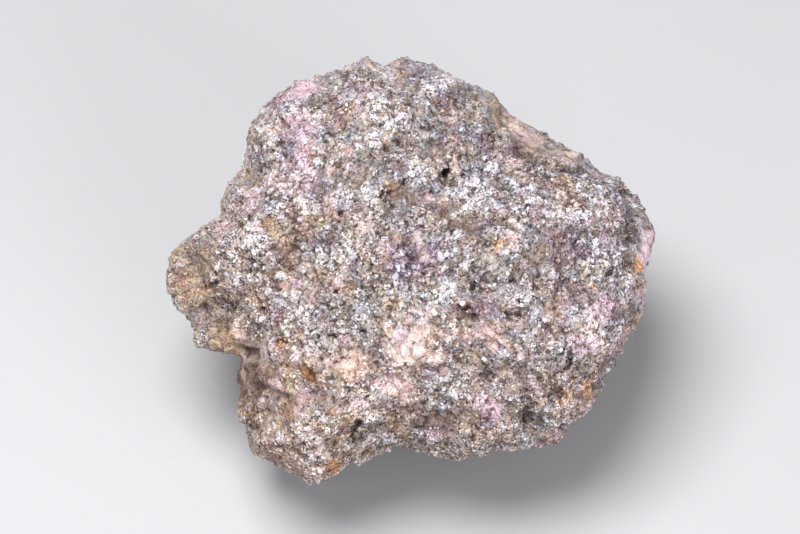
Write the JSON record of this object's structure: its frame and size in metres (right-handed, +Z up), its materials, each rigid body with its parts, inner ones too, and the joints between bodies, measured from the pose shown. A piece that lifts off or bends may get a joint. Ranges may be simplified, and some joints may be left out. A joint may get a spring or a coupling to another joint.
{
  "type": "raw lepidolite specimen",
  "caption": "Raw lepidolite lump, a rounded knobbly piece of grey-lilac mica rock with small pits, resting on a flattened spot.",
  "frame": {"origin": "under the middle of the lump's bounding box, on the surface that it rests on", "axes": "+X to the right along the lump's longest extent, +Y to the back, +Z up from the flattened spot that it rests on"},
  "size_m": [0.0752, 0.0682, 0.055],
  "materials": {
    "lepidolite": "rough, fine-grained, with small sparkling mica flakes"
  },
  "bodies": {
    "root": {"lepidolite_lump": "lepidolite"}
  },
  "joints": []
}
